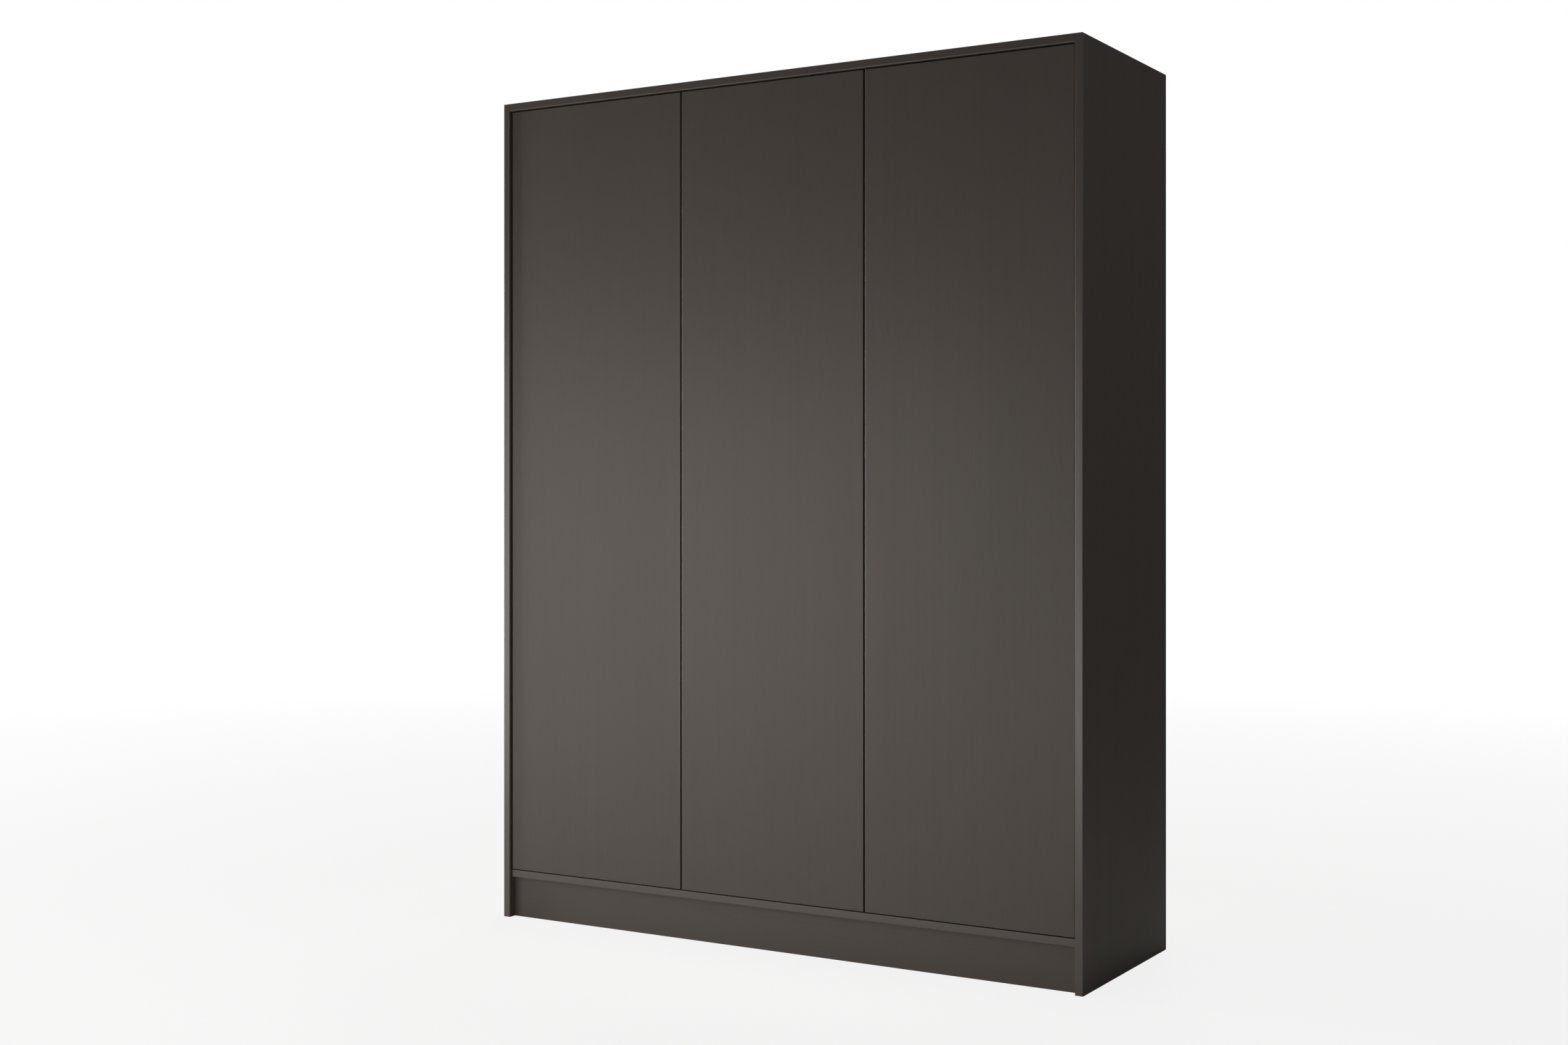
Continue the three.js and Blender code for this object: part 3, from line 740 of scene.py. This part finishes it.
def cover_caps():
    """Round caps over the cam fittings that pull the boards together."""
    top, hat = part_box("top_panel"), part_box("hat_shelf")
    divider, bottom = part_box("divider_panel"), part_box("bottom_panel")
    ends = (
        top[0].x + CAP_FROM_WALL, divider[0].x - CAP_FROM_WALL,
        divider[1].x + CAP_FROM_WALL, top[1].x - CAP_FROM_WALL,
    )
    places = []
    for y in (top[0].y + CAP_FROM_FRONT, top[1].y - CAP_FROM_REAR):
        for x in ends:
            places.append((Vector((x, y, top[0].z)), -Z))
            places.append((Vector((x, y, bottom[0].z)), -Z))
        for x in (hat[0].x + CAP_FROM_WALL, hat[1].x - CAP_FROM_WALL):
            places.append((Vector((x, y + HAT_CAP_SHIFT, hat[0].z)), -Z))
    lathes("cover_caps", places, CAP_PROFILE, "carcass", DARK, sides=24)


def bumpers():
    """Soft dots on the divider's front edge, where the right door comes to rest."""
    low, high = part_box("divider_panel")
    x = high.x - BUMPER_FROM_FACE
    heights = (low.z + BUMPER_FROM_END, (low.z + high.z) / 2, high.z - BUMPER_FROM_END)
    places = [(Vector((x, low.y, z)), -Y) for z in heights]
    lathes("door_bumpers", places, BUMPER_PROFILE, "carcass", CLEAR, sides=18)


# ---------- hinges and latches ----------

def mounting_plate(name, wall_x, y, z, inward):
    """The winged plate under a hinge arm, screwed to the panel."""
    bm = bmesh.new()
    for half_y, half_z, sheet in PLATE_WINGS:
        face_x = wall_x + inward * sheet
        corner = Vector((min(wall_x, face_x), y - half_y, z - half_z))
        opposite = Vector((max(wall_x, face_x), y + half_y, z + half_z))
        verts = add_box(bm, corner, opposite)
        through = [e for e in edges_of(verts) if abs(e.verts[0].co.x - e.verts[1].co.x) > sheet / 2]
        round_edges(bm, through, PLATE_ROUND, segments=4)
    make_piece(name, bm, [ZINC], "carcass")


def hinges():
    """The arms and plates on the carcass, and the cups on the doors, with their screws."""
    for door in DOORS:
        inward = 1 if door == "left" else -1
        arm_low, arm_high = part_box(f"hinge_arm_{door}_1")
        wall_x = arm_low.x if inward > 0 else arm_high.x
        direction = X * inward
        plate_y = arm_high.y - PLATE_FROM_REAR
        plate_face, arm_face = wall_x + inward * PLATE_SCREW_SEAT, wall_x + inward * ARM_SCREW_SEAT
        plate_screws, cup_screws, arm_screws = [], [], []
        for i, z in enumerate(hinge_heights(door), start=1):
            refine(f"hinge_arm_{door}_{i}", "carcass", NICKEL, 0.5 * MM)
            refine(f"hinge_cup_{door}_{i}", f"{door}_door", NICKEL, 0.2 * MM, segments=1)
            mounting_plate(f"mounting_plate_{door}_{i}", wall_x, plate_y, z, inward)
            cup_low, cup_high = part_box(f"hinge_cup_{door}_{i}")
            cup_x = (cup_low.x + cup_high.x) / 2
            for way in (-1, 1):
                plate_screws.append((Vector((plate_face, plate_y, z + way * PLATE_SCREW_RISE)), direction))
                cup_screws.append((Vector((cup_x, cup_high.y, z + way * CUP_SCREW_RISE)), Y))
            for from_rear in ARM_SCREWS_FROM_REAR:
                arm_screws.append((Vector((arm_face, arm_high.y - from_rear, z)), direction))
        screws(f"plate_screws_{door}", plate_screws, "carcass", HEAD_RADIUS["plate"])
        screws(f"cup_screws_{door}", cup_screws, f"{door}_door", HEAD_RADIUS["cup"])
        screws(f"arm_screws_{door}", arm_screws, "carcass", HEAD_RADIUS["arm"], ZINC)


def plunger(door):
    """A turned rod with a soft domed tip."""
    low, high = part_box(f"latch_plunger_{door}")
    centre, radius, length = (low + high) / 2, (high.z - low.z) / 2, high.y - low.y
    rod, groove, head = radius * 0.97, radius * 0.82, radius * 0.99
    profile = (
        (0, 0), (radius * 0.8, 0), (rod, 0.6 * MM), (rod, length - 9 * MM),
        (groove, length - 8.6 * MM), (groove, length - 8 * MM), (head, length - 7.6 * MM),
        (head, length - 1.6 * MM), (radius * 0.78, length - 0.4 * MM), (radius * 0.4, length), (0, length),
    )
    bm = bmesh.new()
    add_lathe(bm, profile, Vector((centre.x, high.y, centre.z)), -Y, sides=28)
    stands_for = [f"latch_plunger_{door}"]
    make_piece(f"plunger_rod_{door}", bm, [DARK], f"{door}_plunger", stands_for)


def latches():
    """A push latch for each door: housing, strike plate and their screws, and the plunger."""
    offsets_from_front, from_bottom = (16 * MM, 62 * MM), 4.5 * MM
    for door in DOORS:
        refine(f"latch_housing_{door}", "carcass", GREY, 1.0 * MM, segments=3)
        refine(f"strike_plate_{door}", f"{door}_door", NICKEL, 0.4 * MM)
        low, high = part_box(f"latch_housing_{door}")
        middle = (low.x + high.x) / 2
        places = [(Vector((middle, low.y + offset, low.z)), -Z) for offset in offsets_from_front]
        screws(f"latch_screws_{door}", places, "carcass", HEAD_RADIUS["latch"])
        plate_low, plate_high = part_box(f"strike_plate_{door}")
        screw_place = Vector((middle, plate_high.y, plate_low.z + from_bottom))
        screws(f"strike_screw_{door}", [(screw_place, Y)], f"{door}_door", HEAD_RADIUS["strike"])
        plunger(door)


# ---------- studio ----------

def studio_floor():
    """A pale floor that the camera sees fade to white with its distance from the wardrobe."""
    n = Nodes("pale_floor")
    speckle = n.noise(even(30), 4)
    base = n.blend(n.span(speckle, 0.3, 0.7), (0.86, 0.86, 0.855), (0.89, 0.89, 0.885))
    pale = n.finish(base, n.span(speckle, 0.3, 0.7, 0.75, 0.85))
    distance = n.add("ShaderNodeVectorMath", operation="LENGTH")
    n.link(n.coords, distance.inputs[0])
    whiteness = n.span(distance.outputs["Value"], FLOOR_NEAR, FLOOR_FAR, FLOOR_GLOW, 1.0)
    camera_ray = n.add("ShaderNodeLightPath").outputs["Is Camera Ray"]
    glow = n.add("ShaderNodeEmission")
    both = n.add("ShaderNodeMixShader")
    n.link(n.combine("MULTIPLY", camera_ray, whiteness), both.inputs["Fac"])
    n.link(n.shader.outputs["BSDF"], both.inputs[1])
    n.link(glow.outputs["Emission"], both.inputs[2])
    n.link(both.outputs["Shader"], n.output.inputs["Surface"])

    bm = bmesh.new()
    bmesh.ops.create_grid(bm, x_segments=2, y_segments=2, size=FLOOR_SIZE)
    mesh = mesh_from("floor", bm)
    mesh.materials.append(pale)
    floor = add_object("floor", mesh)


def studio_lights():
    """Soft area lights in front, to the left and right, behind and above."""
    for name, place, target, width, height, power, spread in LIGHTS:
        data = bpy.data.lights.new(name, "AREA")
        data.shape, data.size, data.size_y = "RECTANGLE", width, height
        data.energy, data.color, data.spread = power, WARM, math.radians(spread)
        light = add_object(name, data)
        light.location = place
        light.rotation_euler = (Vector(target) - Vector(place)).to_track_quat("-Z", "Y").to_euler()
        light.visible_camera = False


def surround():
    """White to the camera, and a weak even light for everything else."""
    world = bpy.data.worlds.new("surround")
    bpy.context.scene.world = world
    world.use_nodes = True
    tree = world.node_tree
    tree.nodes.clear()
    path = tree.nodes.new("ShaderNodeLightPath")
    mix = tree.nodes.new("ShaderNodeMixShader")
    tree.links.new(path.outputs["Is Camera Ray"], mix.inputs["Fac"])
    for strength, socket in ((SURROUND, mix.inputs[1]), (1.0, mix.inputs[2])):
        background = tree.nodes.new("ShaderNodeBackground")
        background.inputs["Color"].default_value = WHITE
        background.inputs["Strength"].default_value = strength
        tree.links.new(background.outputs["Background"], socket)
    output = tree.nodes.new("ShaderNodeOutputWorld")
    tree.links.new(mix.outputs["Shader"], output.inputs["Surface"])
    bpy.context.scene.view_settings.view_transform = "Standard"


def camera():
    data = bpy.data.cameras.new("camera")
    data.lens = CAMERA_LENS
    data.sensor_width = CAMERA_SENSOR
    data.shift_x, data.shift_y = CAMERA_SHIFT
    seen_from = add_object("camera", data)
    seen_from.location = CAMERA_PLACE
    seen_from.rotation_euler = (math.pi / 2, 0.0, CAMERA_TURN)
    bpy.context.scene.camera = seen_from


camera()
studio_floor()
studio_lights()
surround()
carcass_boards()
doors()
back_sheets()
back_nails()
hanging_rail()
rail_fittings()
wall_brackets()
shelf_pins()
cover_caps()
bumpers()
hinges()
latches()
